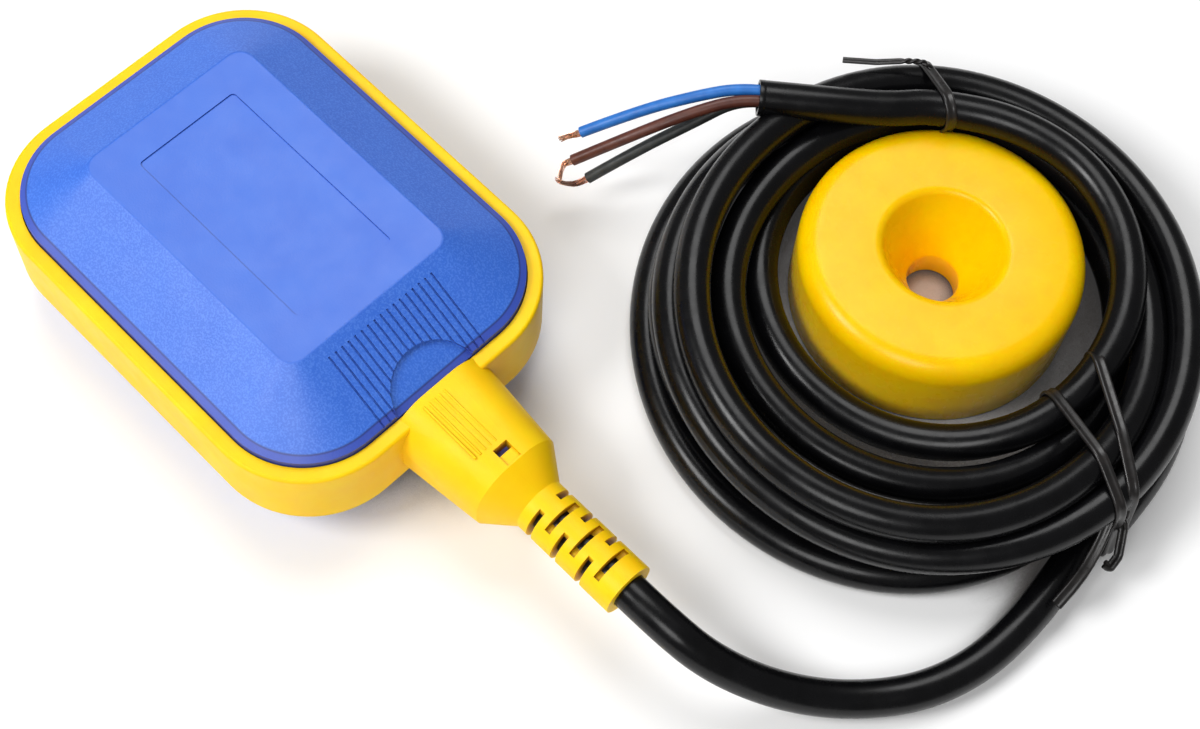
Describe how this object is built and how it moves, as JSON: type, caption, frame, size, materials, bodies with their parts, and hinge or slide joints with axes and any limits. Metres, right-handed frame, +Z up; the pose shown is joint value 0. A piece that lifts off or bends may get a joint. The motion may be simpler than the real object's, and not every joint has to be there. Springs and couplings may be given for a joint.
{
  "type": "cable float switch",
  "caption": "Cable float switch: a faceted float with an overmoulded band and slotted strain relief, its coiled cable with bare core ends, and a round counterweight with a funnel.",
  "frame": {"origin": "on the float's flat underside, below the centre of its band", "axes": "+X along the float towards its cable, +Y across the float towards the coil, +Z up"},
  "size_m": [0.2224, 0.1951, 0.0415],
  "materials": {
    "shell": "satin",
    "band": "satin",
    "clamp": "satin",
    "sheath": "satin",
    "carrier": "satin",
    "steel": "satin",
    "spring_steel": "satin",
    "ball": "polished",
    "switch_body": "satin",
    "plunger": "satin",
    "brass": "satin",
    "tinned_brass": "satin",
    "core_brown": "satin",
    "core_blue": "satin",
    "core_black": "satin",
    "copper": "satin",
    "tie": "satin",
    "weight": "gloss",
    "iron": "rough"
  },
  "bodies": {
    "float": {"upper_shell": "shell", "lower_shell": "shell", "float_band": "band", "cable_clamp": "clamp", "cable_entry": "sheath", "switch_carrier": "carrier", "tunnel_lid": "carrier", "carrier_screws": "steel", "lever_pin": "steel", "microswitch_case": "switch_body", "microswitch_cover": "switch_body", "terminal_common": "brass", "terminal_open": "brass", "terminal_closed": "brass", "push_on_receptacles": "tinned_brass", "inner_lead_brown": "core_brown", "inner_lead_blue": "core_blue", "inner_lead_black": "core_black", "cable_lead": "sheath", "cable_coil": "sheath", "cable_tail": "sheath", "core_blue": "core_blue", "core_brown": "core_brown", "core_black": "core_black", "strands_blue": "copper", "strands_brown": "copper", "strands_black": "copper", "tie_top": "tie", "tie_side": "tie", "weight_shell": "weight", "weight_core": "iron", "weight_cap": "weight"},
    "ball": {"steel_ball": "ball"},
    "lever": {"switch_lever": "spring_steel"},
    "plunger": {"switch_plunger": "plunger"},
    "blade": {"contact_blade": "brass"}
  },
  "joints": [
    {"name": "ball_roll", "type": "slide", "parent": "float", "child": "ball", "axis": [1, 0, 0], "range_m": [0, 0.022]},
    {"name": "lever_tilt", "type": "hinge", "parent": "float", "child": "lever", "pos_m": [-0.0038, -0.0125, 0.02075], "axis": [0, 0, -1], "range_deg": [0, 4], "stiffness_Nm_per_rad": 0.006},
    {"name": "plunger_travel", "type": "slide", "parent": "float", "child": "plunger", "axis": [1, 0, 0], "range_m": [0, 0.0006]},
    {"name": "blade_swing", "type": "hinge", "parent": "float", "child": "blade", "pos_m": [0.00165, -0.008, 0.02075], "axis": [0, 0, -1], "range_deg": [0, 8.6]}
  ],
  "couplings": [
    {"joint": "plunger_travel", "follows": "lever_tilt", "m_per_rad": 0.0085},
    {"joint": "blade_swing", "follows": "lever_tilt", "ratio": 2.125}
  ]
}
